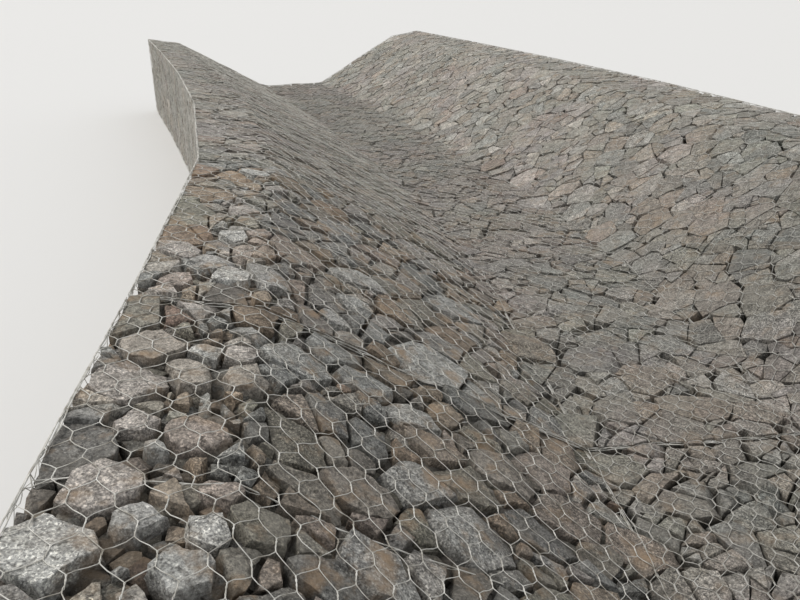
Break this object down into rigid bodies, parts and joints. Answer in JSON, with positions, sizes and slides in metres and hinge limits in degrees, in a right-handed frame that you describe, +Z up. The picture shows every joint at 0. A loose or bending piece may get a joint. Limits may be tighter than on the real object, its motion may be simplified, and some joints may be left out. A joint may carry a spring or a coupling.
{
  "type": "gabion channel wall",
  "caption": "stone-filled wire cages laced into two sloping banks and a bed, lining a gently curved drainage channel",
  "frame": {"origin": "middle of the plan's bounding box, on the underside that rests on level ground", "axes": "X across the channel from the left bank to the right, Y along the channel away from the near end, Z up"},
  "size_m": [6.0719, 12.8195, 1.045],
  "materials": {
    "rubble_stone": "angular quarried rubble, mixed grey, tan and pinkish, matt",
    "galvanised_wire": "dull galvanised steel wire"
  },
  "bodies": {
    "root": {"left_stones_1": "rubble_stone", "left_cage_1": "galvanised_wire", "left_stones_2": "rubble_stone", "left_cage_2": "galvanised_wire", "left_stones_3": "rubble_stone", "left_cage_3": "galvanised_wire", "left_stones_4": "rubble_stone", "left_cage_4": "galvanised_wire", "left_stones_5": "rubble_stone", "left_cage_5": "galvanised_wire", "left_stones_6": "rubble_stone", "left_cage_6": "galvanised_wire", "bed_stones_1": "rubble_stone", "bed_cage_1": "galvanised_wire", "bed_stones_2": "rubble_stone", "bed_cage_2": "galvanised_wire", "bed_stones_3": "rubble_stone", "bed_cage_3": "galvanised_wire", "bed_stones_4": "rubble_stone", "bed_cage_4": "galvanised_wire", "bed_stones_5": "rubble_stone", "bed_cage_5": "galvanised_wire", "bed_stones_6": "rubble_stone", "bed_cage_6": "galvanised_wire", "right_stones_1": "rubble_stone", "right_cage_1": "galvanised_wire", "right_stones_2": "rubble_stone", "right_cage_2": "galvanised_wire", "right_stones_3": "rubble_stone", "right_cage_3": "galvanised_wire", "right_stones_4": "rubble_stone", "right_cage_4": "galvanised_wire", "right_stones_5": "rubble_stone", "right_cage_5": "galvanised_wire", "right_stones_6": "rubble_stone", "right_cage_6": "galvanised_wire"}
  },
  "joints": []
}
